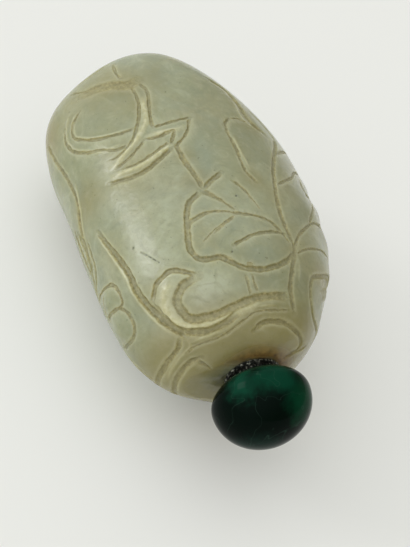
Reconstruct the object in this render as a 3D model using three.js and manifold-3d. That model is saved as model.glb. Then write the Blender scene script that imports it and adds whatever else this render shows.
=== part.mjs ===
// A carved jade snuff bottle of pebble form, lying on its back with its stopper in.
// Millimetres, +Z up. The bottle's long axis runs along Y: mouth and stopper at -Y, foot at +Y.
// The carving is made by cutting channels into a smooth pebble that has a few low swellings.
import * as THREE from 'three';
import { mergeVertices } from 'three/addons/utils/BufferGeometryUtils.js';
import Module from 'manifold-3d';

const wasm = await Module();
wasm.setup();

// ---- driving dimensions -------------------------------------------------------------------
const pebble = {
  width: 42, // left to right, along X
  front: 15.5, // its depth before the long axis, along Z
  back: 15.85, // and behind it
  length: 62.5, // mouth to foot, along Y, before the two ends are ground flat
  widest: 9, // the widest station, this far from mid-length towards the foot
  lean: 2.8, // the mouth sits this far to +X of the middle, the foot as far to -X
  belly: 2.4, // the middle of the body bows this far to +X
  frontRound: 2.0, // superellipse exponent of the cross section, front half
  backRound: 1.9, // and back half
};
// superellipse exponents of the four outlines: higher is squarer
const shoulderSquareness = { left: 3.0, right: 2.1, front: 3.05, back: 3.05 };
const footSquareness = { left: 2.3, right: 1.9, front: 4.6, back: 3.2 };

const backFlat = 0.6; // ground off the back, so that the bottle lies still
const lipFlat = 0.7; // ground off the mouth end, where the collar sits
const footFlat = 0.6; // ground off the other end, the plain oval foot

const wall = 4.6; // from the smooth pebble to the hollow
const mouthRadius = 3;
const mouthHeight = 1; // the mouth's axis above the pebble's own middle

const cap = { radius: 7.5, front: 6.6, back: 3.35, seat: 4.4 };
const collar = { radius: 4.3, height: 1.6, edge: 0.25 };
const cork = { radius: 2.7, length: 8, taper: 0.25 };

const middle = { x: -1.46, y: 5.725 }; // moves the finished object over its origin

// channel sizes: half-width, depth and half-width of the floor
const broad = { half: 0.8, deep: 0.45, floor: 0.4 };
const medium = { half: 0.6, deep: 0.36, floor: 0 };
const fine = { half: 0.42, deep: 0.28, floor: 0 };
const sunk = { half: 0.9, deep: 0.95, floor: 0.3 }; // still there when the back is ground flat
const endShare = 0.35; // a channel runs out to this share of its breadth and depth
const gougeStep = 3.3; // length of one step along a channel
const gougeLift = 0.12; // the cutter's sides start this far above the stone
const gougeTop = 1.6; // and its ridge stands this high

// how finely the round forms are divided
const bodyDetail = 9; // of the icosahedron that the pebble is spread over
const hollowDetail = 4; // and of the one for the hollow
const ringSteps = 12;
const boreSides = 32;
const turnedSides = 40;
const capSteps = 10;

// where the body's own middle and its two ground ends come to lie
const axisZ = pebble.back - backFlat;
const mouthX = pebble.lean;
const mouthZ = axisZ + mouthHeight;
const lipY = lipFlat - pebble.length / 2;
const footY = pebble.length / 2 - footFlat;

// ---- the smooth pebble ----------------------------------------------------------------------
// Half-breadth of an outline at a share t of the way from its widest station to its end.
const outline = (t, squareness) => Math.max(1 - t ** squareness, 0) ** (1 / squareness);

// The pebble's surface in the direction d, a unit vector, with its wall cut back by inset.
function pebblePoint(d, inset = 0) {
  const half = pebble.length / 2 - inset;
  const t = Math.abs(d.y);
  const squareness = d.y < 0 ? shoulderSquareness : footSquareness;
  const y = pebble.widest + d.y * (half - Math.sign(d.y) * pebble.widest);
  const round = 2 / (d.z > 0 ? pebble.frontRound : pebble.backRound);
  const ring = Math.hypot(d.x, d.z) || 1;
  const across = Math.sign(d.x) * (Math.abs(d.x) / ring) ** round;
  const up = Math.sign(d.z) * (Math.abs(d.z) / ring) ** round;
  const depth = d.z < 0 ? pebble.back : pebble.front;
  const station = y / (pebble.length / 2);
  const spine = -pebble.lean * station + pebble.belly * (1 - station ** 2);
  return new THREE.Vector3(
    spine + across * (pebble.width / 2 - inset) * outline(t, squareness[d.x < 0 ? 'left' : 'right']),
    y,
    axisZ + up * (depth - inset) * outline(t, squareness[d.z < 0 ? 'back' : 'front']),
  );
}

// Longitude runs round the body from the front centre to +X, latitude from the mouth at -90
// to the foot at +90, both in degrees.
function direction(longitude, latitude) {
  const lon = THREE.MathUtils.degToRad(longitude);
  const lat = THREE.MathUtils.degToRad(latitude);
  return new THREE.Vector3(Math.cos(lat) * Math.sin(lon), Math.sin(lat), Math.cos(lat) * Math.cos(lon));
}

// Outward unit normal of the pebble, from two short steps across its surface.
function pebbleNormal(d) {
  const step = 0.01;
  const aside = Math.abs(d.y) < 0.9 ? new THREE.Vector3(0, 1, 0) : new THREE.Vector3(1, 0, 0);
  const u = new THREE.Vector3().crossVectors(aside, d).normalize();
  const v = new THREE.Vector3().crossVectors(d, u);
  const along = (axis, side) => pebblePoint(d.clone().addScaledVector(axis, side * step).normalize());
  const du = along(u, 1).sub(along(u, -1));
  const dv = along(v, 1).sub(along(v, -1));
  return du.cross(dv).normalize();
}

// ---- the carving: strokes -------------------------------------------------------------------
// Each stroke is a channel size and a smooth line through a few places on the pebble, given
// as longitude and latitude.

// large leaf on the front: its border, midrib, side veins and two short stalks
const leafStrokes = [
  [broad, [[-17, -22], [-25, -24.5], [-30.5, -30], [-33.5, -36], [-33, -40], [-30, -42], [-21, -44],
    [-12, -46.5], [0, -47.5], [10, -46.5], [18, -44], [23, -40]]],
  [medium, [[-30, -32], [-23.5, -29.5], [-12.5, -28.5], [-3, -29.5], [10, -31], [21, -37.5]]],
  [fine, [[-17.5, -21.5], [-9.5, -25.5], [-4.5, -29]]],
  [fine, [[-6.5, -30], [-16, -33.5], [-25, -37]]],
  [fine, [[19.5, -34.5], [7, -35], [-0.5, -36], [-11.5, -39]]],
  [fine, [[-1.5, -19], [4, -23.5], [8, -28.5]]],
  [medium, [[-16, -21.5], [-10.5, -19], [-4.5, -16.5]]],
  [medium, [[-19, -7], [-18.5, -12], [-17, -16], [-15.5, -21.5]]],
  [fine, [[-7.5, -48.5], [-7, -52], [-6.5, -55]]],
];

// scroll below the leaf, and the long stalk down the left of the front
const scrollStrokes = [
  [broad, [[-61, -48], [-54, -44], [-44, -42], [-32, -46], [-42, -48], [-48, -53], [-45, -58], [-34, -60],
    [-16, -58], [-2, -56], [18, -55]]],
  [broad, [[-62, -48], [-60, -54], [-56, -60], [-44, -64], [-30, -64], [-16, -60]]],
  [broad, [[-73, -20], [-70, -29], [-66, -38], [-62, -48], [-60, -59], [-53, -63]]],
];

// ribbon bow near the foot: left loop, tails and right loop
const bowStrokes = [
  [medium, [[-56, 22], [-63, 15], [-62, 8], [-52, 2], [-42, 0], [-33, 0]]],
  [medium, [[-68, 18], [-70, 12], [-68, 5], [-62, 0], [-50, -3], [-39, -4]]],
  [medium, [[-26, 24], [-26, 14], [-30, 3], [-36, -3], [-45, -6], [-51, -6]]],
  [medium, [[-22, 26], [-20, 19], [-24, 4], [-25, -1], [-16, 0], [-6, 2], [-12, -4], [-20, -8]]],
  [fine, [[-49, -9], [-36, -6], [-24, -4], [-17, -3]]],
  [fine, [[-21, -6], [-28, -8], [-38, -10], [-46, -10]]],
  [medium, [[-21, -8], [-30, -11], [-40, -13], [-56, -12]]],
  [broad, [[-58, 32], [-47, 31], [-36, 29], [-28, 26], [-21, 28]]],
];

// left flank: two long lines
const leftStrokes = [
  [medium, [[-86, 22], [-86, 12], [-82, -2], [-80, -10], [-85, -14], [-96, -26], [-106, -30]]],
  [fine, [[-80, -10], [-74, -10], [-68, -7]]],
  [fine, [[-84, -20], [-88, -28], [-102, -32]]],
];

// right flank: long leaf, its stalk and the small leaves behind
const rightStrokes = [
  [medium, [[19, 5], [13.5, 4], [8, -3], [7.5, -13.5], [11, -19]]],
  [broad, [[20, 33], [28, 28], [28, 20], [26.5, 9], [28.5, 4], [33, 1.5]]],
  [broad, [[43, 2], [28, -10], [19.5, -23.5], [19, -29], [23.5, -38.5], [19, -52], [25, -60.5]]],
  [fine, [[35.5, -5.5], [40.5, -3.5], [54.5, 0.5], [76, 3]]],
  [medium, [[24, -18], [30.5, -15.5], [47, -8.5], [66, -4]]],
  [medium, [[23.5, -38], [28.5, -33.5], [45, -26], [62, -22.5], [82, -23]]],
  [fine, [[24.5, -40], [33.5, -37], [48, -34], [66, -32.5], [82, -34]]],
  [medium, [[84, -37], [66, -38], [43, -44], [38, -48], [42, -54], [52, -58], [76, -56]]],
];

// shoulder: edge of the petals round the mouth, the lines between them and two petals
const shoulderStrokes = [
  [medium, [[-60, -63], [-68, -65.5], [-101, -65.5], [-122, -62]]],
  [fine, [[-64, -68], [-50, -68], [-32, -68], [-16, -64], [-4, -61], [19, -60]]],
  [medium, [[-57, -73], [-70, -71.5], [-106, -71], [-140, -68]]],
  [medium, [[-10, -68.5], [0, -65], [24.5, -65.5], [50.5, -68.5], [46, -76]]],
];

// back and far flanks, plainer: one broad leaf with its midrib, and a long stalk on each side
const backStrokes = [
  [broad, [[168, -30], [150, -20], [142, -4], [150, 14], [170, 24], [-166, 16], [-156, -4], [-164, -22],
    [168, -30]]],
  [sunk, [[168, -30], [170, -12], [170, 6], [166, 18]]],
  [broad, [[116, 34], [104, 20], [98, 2], [104, -16], [118, -34], [122, -50]]],
  [broad, [[-108, -31], [-122, -20], [-128, -4], [-122, 14], [-110, 30]]],
  [broad, [[168, -30], [160, -44], [140, -56], [116, -60]]],
];

const strokes = [
  ...leafStrokes, ...scrollStrokes, ...bowStrokes, ...leftStrokes, ...rightStrokes, ...shoulderStrokes,
  ...backStrokes,
];

// Round forms ringed by a channel: the place and the half-widths round and along the body, in
// degrees.
const rings = [
  { at: [-88, -38], reach: [10, 4.6], channel: fine }, // upper fruit
  { at: [-92.5, -46], reach: [13, 5.4], channel: fine }, // lower fruit
  { at: [142, -76.5], reach: [40, 5.9], channel: medium }, // petal at the back
];

// ---- the carving: swellings -------------------------------------------------------------------
// Low hills and hollows of the stone: place, radius and height in millimetres.
const swellings = [
  { at: [-84, 38], radius: 9, rise: 0.6 }, // foot, left
  { at: [-92, -6], radius: 10, rise: -0.4 }, // left flank
  { at: [-98, -40], radius: 9, rise: 0.5 },
  { at: [-112, -52], radius: 8, rise: 0.25 },
  { at: [-106, -60], radius: 10, rise: 0.75 }, // shoulder, left
  { at: [-112, -74], radius: 7, rise: 0.6 },
  { at: [50, -66], radius: 7, rise: 0.5 }, // shoulder, right
  { at: [62, -36], radius: 9, rise: 0.4 }, // right flank
  { at: [50, -22], radius: 6, rise: 0.4 },
  { at: [66, -17], radius: 3.5, rise: 0.45 }, // the small leaves' edges
  { at: [66, -27], radius: 4, rise: 0.4 },
  { at: [75, -46], radius: 5, rise: -0.35 },
  { at: [-88, -38], radius: 2.6, rise: 0.3 }, // the two fruits
  { at: [-92.5, -46], radius: 3, rise: 0.3 },
  { at: [-85, -74], radius: 4, rise: 0.3 }, // two petals by the mouth
  { at: [15, -73], radius: 4, rise: 0.3 },
  { at: [-14, -33], radius: 6.5, rise: 0.25 }, // the large leaf
  { at: [8, -40], radius: 5.5, rise: 0.2 },
].map((hill) => ({ ...hill, centre: pebblePoint(direction(...hill.at)) }));

// The carver's stone before the channels are cut: the pebble with its swellings.
function shapedPoint(d) {
  const point = pebblePoint(d);
  let rise = 0;
  for (const { centre, radius, rise: top } of swellings) {
    rise += top * (1 - THREE.MathUtils.smoothstep(point.distanceTo(centre) / radius, 0, 1));
  }
  return point.addScaledVector(pebbleNormal(d), rise);
}

// ---- solids ---------------------------------------------------------------------------------------
function indexedGeometry(geometry) {
  const bare = geometry.clone();
  bare.deleteAttribute('normal');
  bare.deleteAttribute('uv');
  return mergeVertices(bare, 1e-4);
}

function solid(vertices, triangles) {
  return new wasm.Manifold(new wasm.Mesh({
    numProp: 3,
    vertProperties: new Float32Array(vertices),
    triVerts: new Uint32Array(triangles),
  }));
}

function solidOf(geometry) {
  const indexed = indexedGeometry(geometry);
  return solid(indexed.getAttribute('position').array, indexed.getIndex().array);
}

function geometryOf(manifold) {
  const mesh = manifold.getMesh();
  const geometry = new THREE.BufferGeometry();
  geometry.setAttribute('position', new THREE.BufferAttribute(mesh.vertProperties, 3));
  geometry.setIndex(new THREE.BufferAttribute(mesh.triVerts, 1));
  return geometry;
}

function shapedSphere(detail, pointAt) {
  const sphere = indexedGeometry(new THREE.IcosahedronGeometry(1, detail));
  const position = sphere.getAttribute('position');
  for (let i = 0; i < position.count; i += 1) {
    const d = new THREE.Vector3().fromBufferAttribute(position, i).normalize();
    position.setXYZ(i, ...pointAt(d));
  }
  return solid(position.array, sphere.getIndex().array);
}

// ---- the gouge: a channel's section carried along its line ----------------------------------------
// Places along a channel, as directions about gougeStep apart on the stone.
function strokeDirections(places) {
  const knots = places.map(([lon, lat]) => direction(lon, lat));
  const curve = new THREE.CatmullRomCurve3(knots, false, 'centripetal');
  const onStone = curve.getPoints(40).map((d) => pebblePoint(d.normalize()));
  const length = onStone.slice(1).reduce((sum, p, i) => sum + p.distanceTo(onStone[i]), 0);
  return curve.getPoints(Math.max(2, Math.round(length / gougeStep))).map((d) => d.normalize());
}

// A ring runs a little past its own start, so that its two ends overlap.
function ringDirections({ at: [lon, lat], reach }) {
  const overlap = 1.05;
  return Array.from({ length: ringSteps + 1 }, (_, i) => {
    const turn = (i / ringSteps) * overlap * 2 * Math.PI;
    return direction(lon + reach[0] * Math.cos(turn), lat + reach[1] * Math.sin(turn));
  });
}

// The cutter's section, a closed outline of [out, up] points. It shrinks at a channel's ends,
// where only the part above the stone keeps its height.
function gougeSection({ half, deep, floor }, share) {
  const bottom = floor > 0 ? [[floor, -deep], [-floor, -deep]] : [[0, -deep]];
  const section = [[0, gougeTop], [half, gougeLift], ...bottom, [-half, gougeLift]];
  return section.map(([out, up]) => [out * share, up > 0 ? up : up * share]);
}

function gouge(size, directions) {
  const points = directions.map((d) => shapedPoint(d));
  const end = points.length - 1;
  const vertices = [];
  points.forEach((point, i) => {
    const normal = pebbleNormal(directions[i]);
    const along = points[Math.min(i + 1, end)].clone().sub(points[Math.max(i - 1, 0)]);
    const side = new THREE.Vector3().crossVectors(along, normal).normalize();
    for (const [out, up] of gougeSection(size, i === 0 || i === end ? endShare : 1)) {
      vertices.push(...point.clone().addScaledVector(side, out).addScaledVector(normal, up));
    }
  });
  const sides = vertices.length / 3 / points.length;
  const last = end * sides;
  const triangles = [];
  for (let row = 0; row < last; row += sides) {
    for (let i = 0; i < sides; i += 1) {
      const next = (i + 1) % sides;
      triangles.push(row + i, row + next, row + sides + i);
      triangles.push(row + next, row + sides + next, row + sides + i);
    }
  }
  for (let i = 1; i < sides - 1; i += 1) {
    triangles.push(0, i + 1, i, last, last + i, last + i + 1);
  }
  return solid(vertices, triangles);
}

// ---- the bottle -----------------------------------------------------------------------------------
function carvedChannels() {
  const cuts = [
    ...strokes.map(([size, places]) => gouge(size, strokeDirections(places))),
    ...rings.map((ring) => gouge(ring.channel, ringDirections(ring))),
  ];
  return cuts.reduce((all, cut) => all.add(cut));
}

function neckBore() {
  const outside = 1; // starts this far outside the lip
  const length = 2 * wall + 4; // and ends well inside the hollow
  const bore = new THREE.CylinderGeometry(mouthRadius, mouthRadius, length, boreSides);
  bore.translate(mouthX, lipY - outside + length / 2, mouthZ);
  return solidOf(bore);
}

// A block whose one face is the plane that an end or the back is ground to: x, y and z point
// from that face into the block.
function grindstone(x, y, z) {
  const size = 100;
  const block = new THREE.BoxGeometry(size, size, size);
  block.translate(x * size / 2, y * size / 2, z * size / 2);
  return block;
}

function bottleGeometry() {
  const hollow = shapedSphere(hollowDetail, (d) => pebblePoint(d, wall));
  const ground = [
    grindstone(0, 0, -1),
    grindstone(0, -1, 0).translate(0, lipY, 0),
    grindstone(0, 1, 0).translate(0, footY, 0),
  ].map(solidOf);
  const cuts = [carvedChannels(), hollow, neckBore(), ...ground];
  return geometryOf(cuts.reduce((body, cut) => body.subtract(cut), shapedSphere(bodyDetail, shapedPoint)));
}

// ---- the stopper: a domed cap, a thin metal collar and a cork ----------------------------------------
// Each is turned about the mouth's axis; a profile lists [radius, place along Y from the lip].
function turned(profile, sides = turnedSides) {
  const points = profile.map(([radius, along]) => new THREE.Vector2(radius, along));
  return indexedGeometry(new THREE.LatheGeometry(points, sides));
}

// Two half-ellipses that meet at the widest ring; the back one is ground to a flat seat.
function capGeometry() {
  const widest = -collar.height - cap.back;
  const seatAngle = Math.acos(cap.seat / cap.radius);
  const profile = [[0, widest - cap.front]];
  for (let i = 1; i <= capSteps; i += 1) {
    const turn = -Math.PI / 2 + (i / capSteps) * (Math.PI / 2 + seatAngle);
    const half = turn < 0 ? cap.front : cap.back / Math.sin(seatAngle);
    profile.push([cap.radius * Math.cos(turn), widest + half * Math.sin(turn)]);
  }
  profile.push([0, -collar.height]);
  return turned(profile);
}

function collarGeometry() {
  const { radius, height, edge } = collar;
  return turned([
    [0, -height], [radius - edge, -height], [radius, edge - height],
    [radius, -edge], [radius - edge, 0], [0, 0],
  ]);
}

function corkGeometry() {
  const { radius, length, taper } = cork;
  return turned([[0, 0], [radius, 0], [radius - taper, length], [0, length]], boreSides);
}

// ---- the object ---------------------------------------------------------------------------------------
const jade = new THREE.MeshStandardMaterial({ color: 0xa6a88c, roughness: 0.32, metalness: 0 });
const greenStone = new THREE.MeshStandardMaterial({ color: 0x06291b, roughness: 0.12, metalness: 0 });
const darkMetal = new THREE.MeshStandardMaterial({ color: 0x3a3c38, roughness: 0.45, metalness: 0.9 });
const corkBark = new THREE.MeshStandardMaterial({ color: 0x9a7650, roughness: 0.9, metalness: 0 });

function piece(name, geometry, material) {
  const mesh = new THREE.Mesh(geometry, material);
  mesh.name = name;
  return mesh;
}

const bottle = piece('bottle', bottleGeometry(), jade);
const stopper = new THREE.Group();
stopper.position.set(mouthX, lipY, mouthZ);
stopper.add(
  piece('stopper_cap', capGeometry(), greenStone),
  piece('stopper_collar', collarGeometry(), darkMetal),
  piece('stopper_cork', corkGeometry(), corkBark),
);

const snuffBottle = new THREE.Group();
snuffBottle.position.set(middle.x, middle.y, 0);
snuffBottle.add(bottle, stopper);

export default snuffBottle;
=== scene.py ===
# %% [markdown]
# # A carved jade snuff bottle with its stopper
#
# The real thing is one jade pebble, ground hollow through a narrow mouth and carved all over
# with leaves, scrolls and a ribbon bow. It lies on its back. A domed dark green stone on a
# thin metal disc stops the mouth, held by a cork in the neck.
#
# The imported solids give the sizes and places. This lesson dresses them: it carves the fine
# surface of the stone, turns the stopper, and makes each finish from procedural nodes.

# %% Load the frame
import math

import bpy
import numpy as np
from mathutils import Matrix, Vector


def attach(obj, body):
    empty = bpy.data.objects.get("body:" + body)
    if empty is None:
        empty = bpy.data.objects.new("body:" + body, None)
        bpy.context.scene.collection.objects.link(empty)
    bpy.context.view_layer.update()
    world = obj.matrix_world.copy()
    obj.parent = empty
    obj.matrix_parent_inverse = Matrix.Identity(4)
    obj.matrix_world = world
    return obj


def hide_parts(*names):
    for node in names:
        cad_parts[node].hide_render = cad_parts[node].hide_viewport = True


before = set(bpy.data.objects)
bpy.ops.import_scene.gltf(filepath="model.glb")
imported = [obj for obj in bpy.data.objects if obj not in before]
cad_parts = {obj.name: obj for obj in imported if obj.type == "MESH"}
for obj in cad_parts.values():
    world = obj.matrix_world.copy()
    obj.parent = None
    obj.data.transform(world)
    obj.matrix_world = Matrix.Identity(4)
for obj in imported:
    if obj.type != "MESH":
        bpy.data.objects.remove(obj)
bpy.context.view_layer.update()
MM = 0.001

# %% [markdown]
# ## The camera
#
# A close look from above the stopper's left, about two hand-widths away. A short distance
# matters: it makes the stopper look larger than it would from far off. The camera is
# described the way a photographer would: where it aims, how far round and how high it
# stands, how far it is rolled, its distance and its lens.

# %% Camera
camera_round, camera_height, camera_roll = math.radians(-32.8), math.radians(44.5), math.radians(24.5)
camera_distance = 181 * MM
camera_lens = 72.3  # mm, on a sensor whose long side is 36 mm
body_middle = Vector((-1.46, 5.725, 15.25)) * MM
frame_offset = (3.48, -7.56)  # mm: the aim's place right of and above the body's middle


def camera_axes(turn, height, roll):
    """Right, up and backward directions of a camera that looks at its aim from the side
    `turn` (0 looks along +Y) and from `height` above the horizon, then rolls about its view."""
    back = Vector((math.sin(turn) * math.cos(height), -math.cos(turn) * math.cos(height), math.sin(height)))
    level = Vector((0, 0, 1)).cross(back).normalized()
    rise = back.cross(level)
    right = level * math.cos(roll) + rise * math.sin(roll)
    return right, back.cross(right), back


right, up, back = camera_axes(camera_round, camera_height, camera_roll)
aim = body_middle + (right * frame_offset[0] + up * frame_offset[1]) * MM
lens = bpy.data.cameras.new("camera")
lens.lens, lens.sensor_width = camera_lens, 36
lens.clip_start = 0.01
camera = bpy.data.objects.new("camera", lens)
facing_aim = Matrix((right, up, back)).transposed().to_4x4()
camera.matrix_world = Matrix.Translation(aim + back * camera_distance) @ facing_aim
bpy.context.scene.collection.objects.link(camera)
bpy.context.scene.camera = camera
print("camera at", [round(v / MM) for v in camera.location], "mm")

# %% [markdown]
# ## The pebble
#
# The carver starts from a smooth pebble. Its surface is worked out from a direction: a unit
# vector gives the station along the bottle and the place round the section. Every outline is
# a superellipse, |a|^n + |b|^n = 1, which is an ellipse at n = 2 and squarer above it, so a
# few exponents give the blunt foot and the rounder shoulder.

# %% The pebble's surface
half_width, half_length = 21.0, 31.25  # all in mm
front_depth, back_depth = 15.5, 15.85
widest, lean, belly = 9.0, 2.8, 2.4  # where it is widest, and how its middle line leans and bows
axis_height, lip_at, foot_at = 15.25, -30.55, 30.65
wall, mouth_radius, mouth_rise = 4.6, 3.0, 1.0
shift = np.array([-1.46, 5.725, 0.0])  # from the pebble's own middle to the frame's
section_front, section_back = 2.0, 1.9  # from here on, exponents
shoulder = {"left": 3.0, "right": 2.1, "front": 3.05, "back": 3.05}
foot = {"left": 2.3, "right": 1.9, "front": 4.6, "back": 3.2}


def directions(lon, lat):
    """Unit vectors from degrees: longitude runs from the front (+Z) to +X, latitude from the
    mouth at -90 to the foot at +90."""
    lon, lat = np.radians(lon), np.radians(lat)
    return np.stack([np.cos(lat) * np.sin(lon), np.sin(lat), np.cos(lat) * np.cos(lon)], -1)


def outline(t, squareness):
    """Half-breadth at a share t of the way to an end: (1 - t^n)^(1/n)."""
    return np.maximum(1 - t**squareness, 0) ** (1 / squareness)


def pebble(d, inset=0.0):
    """Points of the pebble in directions d, in mm: the spine, a gentle S, plus the section's
    superellipse scaled by the outline at that station. inset draws the surface inwards."""
    x, y, z = d[..., 0], d[..., 1], d[..., 2]
    half = half_length - inset
    station = widest + y * (half - np.sign(y) * widest)
    share = station / half_length
    spine = -lean * share + belly * (1 - share**2)
    ring = np.maximum(np.hypot(x, z), 1e-9)
    power = 2 / np.where(z > 0, section_front, section_back)
    depth = np.where(z < 0, back_depth, front_depth) - inset
    pick = lambda side: np.where(y < 0, shoulder[side], foot[side])
    across = outline(np.abs(y), np.where(x < 0, pick("left"), pick("right")))
    upward = outline(np.abs(y), np.where(z < 0, pick("back"), pick("front")))
    return np.stack([
        spine + np.sign(x) * (np.abs(x) / ring) ** power * (half_width - inset) * across,
        station,
        axis_height + np.sign(z) * (np.abs(z) / ring) ** power * depth * upward,
    ], -1)


def unit(v):
    """The same directions at length 1."""
    return v / np.maximum(np.linalg.norm(v, axis=-1, keepdims=True), 1e-12)


def pebble_normals(d, step=0.01):
    """Outward normals: the cross product of two short steps over the surface."""
    aside = np.where(np.abs(d[..., 1:2]) < 0.9, [0.0, 1.0, 0.0], [1.0, 0.0, 0.0])
    u = unit(np.cross(aside, d))
    v = np.cross(d, u)
    du = pebble(unit(d + step * u)) - pebble(unit(d - step * u))
    dv = pebble(unit(d + step * v)) - pebble(unit(d - step * v))
    return unit(np.cross(du, dv))


everywhere = directions(*np.meshgrid(np.arange(-180, 180), np.arange(-89, 90)))
print("pebble spans", np.round(np.ptp(pebble(everywhere).reshape(-1, 3), axis=0), 1), "mm")

# %% [markdown]
# ## The carver's lines
#
# Jade is too hard to cut with a knife: it is ground with small turning discs and wet grit.
# A disc leaves a trough with a round floor that runs out at both ends. So each line of the
# carving is written down as a stroke: a few places on the pebble (longitude and latitude),
# a half-breadth and a depth in millimetres. Heights come from the distance to the stroke's
# centre line, measured in space, so that a trough keeps its breadth all over the stone.
#
# Sculpting by hand would do as well, but lines that are written down can be moved one by one.

# %% The discs' marks
# Half-breadth and depth in mm, and the share of both that is left at the stroke's far end.
BROAD, MEDIUM, THIN = (0.62, 0.36, 1), (0.44, 0.28, 1), (0.31, 0.2, 1)
FAINT, HAIR = (0.24, 0.15, 1), (0.19, 0.1, 1)
BORDER, LONG, INNER = (0.5, 0.32, 1), (0.45, 0.3, 1.6), (0.8, 0.34, 0.8)  # leaf's edge, stalk, scroll
WEDGE, FINE_WEDGE = (0.55, 0.3, 0.25), (0.38, 0.24, 0.3)  # veins that run out to a point
WASH, PANEL, NOTCH = (1.0, 0.22, 1), (1.1, 0.45, 1), (0.34, 0.45, 1)  # shallow, sunk and cut into the outline
SUNK = (0.85, 0.85, 1)  # so deep that it still shows where the back is ground flat
CRACK, SPECK = (0.09, 0.06), (0.13, 0.1)  # these have no far end of their own
print("the broadest disc cuts", 2 * PANEL[0], "mm, the finest", 2 * HAIR[0], "mm")

# %% Troughs on the front: the ribbon bow
bow_troughs = [
    (THIN, [(-56, 22), (-61, 18), (-64, 13), (-62, 8), (-52, 2), (-42, 0), (-33, 0)]),
    (THIN, [(-68, 18), (-70, 12), (-68, 5), (-62, 0), (-53, -2), (-46, -4), (-39, -4)]),
    (THIN, [(-26, 24), (-26, 14), (-30, 3), (-36, -3), (-45, -6), (-51, -6)]),
    (THIN, [(-22, 26), (-20, 19), (-22, 11), (-24, 4), (-25, -1)]),
    (THIN, [(-31, -4), (-36, -6), (-42, -8), (-49, -9)]),
    (THIN, [(-25, -1), (-16, 0), (-6, 2)]),
    (THIN, [(-6, 2), (-12, -4), (-20, -8)]),
    (THIN, [(-31, -4), (-24, -4), (-17, -3), (-21, -7)]),
    (THIN, [(-21, -6), (-28, -8), (-38, -10), (-46, -10)]),
    (MEDIUM, [(-21, -8), (-30, -11), (-40, -13), (-56, -12)]),
    (WASH, [(-58, 32), (-47, 31), (-36, 29), (-28, 26), (-21, 28)]),
    (THIN, [(-33, 48), (-32, 38), (-30, 32)]),
    (THIN, [(-64, 48), (-50, 47), (-38, 52)]),
    (THIN, [(-62, 39), (-52, 34), (-43, 32)]),
]

# %% Troughs on the front: the large leaf, its stalks and the scroll below it
leaf_troughs = [
    (MEDIUM, [(-19, -7), (-18.5, -12), (-17, -16), (-15.5, -21.5)]),  # its stalk
    (BORDER, [(-17, -22), (-23, -24.2), (-26, -26.5), (-28, -30), (-30, -34.5), (-31.2, -38), (-29, -41),
              (-24.5, -42), (-19, -42), (-14, -44.2), (-8.5, -46.2), (-1, -46.8), (8, -45.8),
              (15.5, -43.8), (20, -41.5), (23, -40)]),
    (MEDIUM, [(-16, -21.5), (-10.5, -19), (-4.5, -16.5)]),
    (WEDGE, [(-17.5, -21.5), (-14, -23), (-9.5, -25.5), (-4.5, -29)]),
    (WEDGE, [(-30, -32), (-26.5, -30), (-23.5, -29.5), (-18.5, -28.5), (-12.5, -28.5), (-5, -29.2)]),
    (THIN, [(-8.5, -29), (-3, -29.5), (3.5, -30), (10, -31), (14.5, -33), (21, -37.5)]),
    (HAIR, [(-6.5, -30), (-13, -32.5), (-19, -34.5), (-25, -37)]),
    (HAIR, [(-8, -30.8), (-14, -33.2), (-19, -35.2)]),
    (THIN, [(19.5, -34.5), (14, -34.5), (7, -35), (-0.5, -36), (-6, -37.5), (-11.5, -39)]),
    (FINE_WEDGE, [(-1.5, -19), (1.5, -21), (4, -23.5), (8, -28.5)]),
    (HAIR, [(-21, -41.5), (-17, -41.8), (-13, -43.2)]),  # two small steps in its lower border
    (HAIR, [(-7.5, -46.5), (-6.5, -44.8), (-4, -45.6)]),
    (HAIR, [(-9.5, -48.5), (-9, -51.5), (-9, -55.5)]),
    (HAIR, [(-6, -48.5), (-5.5, -52), (-4.5, -54.5)]),
    (MEDIUM, [(-61, -48), (-54, -44), (-44, -42), (-37, -44), (-32, -46)]),
    (INNER, [(-32, -46), (-42, -48), (-48, -52), (-46, -58), (-34, -60), (-16, -58), (-2, -56),
             (18, -55)]),
    (BROAD, [(-62, -48), (-60, -54), (-56, -60), (-44, -64), (-30, -64), (-16, -60)]),
    (LONG, [(-73, -21), (-68, -30), (-65.5, -36.5), (-66, -42), (-64.5, -48.5), (-60.5, -55.5),
            (-56, -61), (-53, -63)]),
]

# %% Troughs on the flanks
left_troughs = [
    (MEDIUM, [(-88, 22), (-82, 3.5), (-80, -4.5), (-80, -9), (-84, -13.5), (-87, -17.5), (-89, -21.5),
              (-96.5, -28.5), (-104, -33)]),
    (BROAD, [(-81, -10), (-84, -13.5), (-87, -17.5), (-89, -21.5), (-93, -25.5)]),
    (THIN, [(-84, -20), (-88, -28), (-102, -32)]),
    (MEDIUM, [(-97, -13), (-96.5, -21), (-97, -27)]),
    (MEDIUM, [(-91.5, -15), (-89.5, -21.5), (-91, -27)]),
    (NOTCH, [(-110, -46), (-112, -52), (-111.5, -56.5), (-110.5, -62)]),
    # two small fruits, this and the next
    (THIN, [(-108.5, -32.5), (-93, -34), (-80.5, -35.5), (-77, -38), (-77.5, -41), (-80, -42.5),
            (-89.5, -41.5)]),
    (THIN, [(-101.5, -40), (-89.5, -41.5), (-82, -43), (-79, -46.5), (-81.5, -50.5), (-89.5, -52),
            (-105, -49.5)]),
    (HAIR, [(-89, -36), (-94, -37), (-101, -39)]),
]
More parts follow.
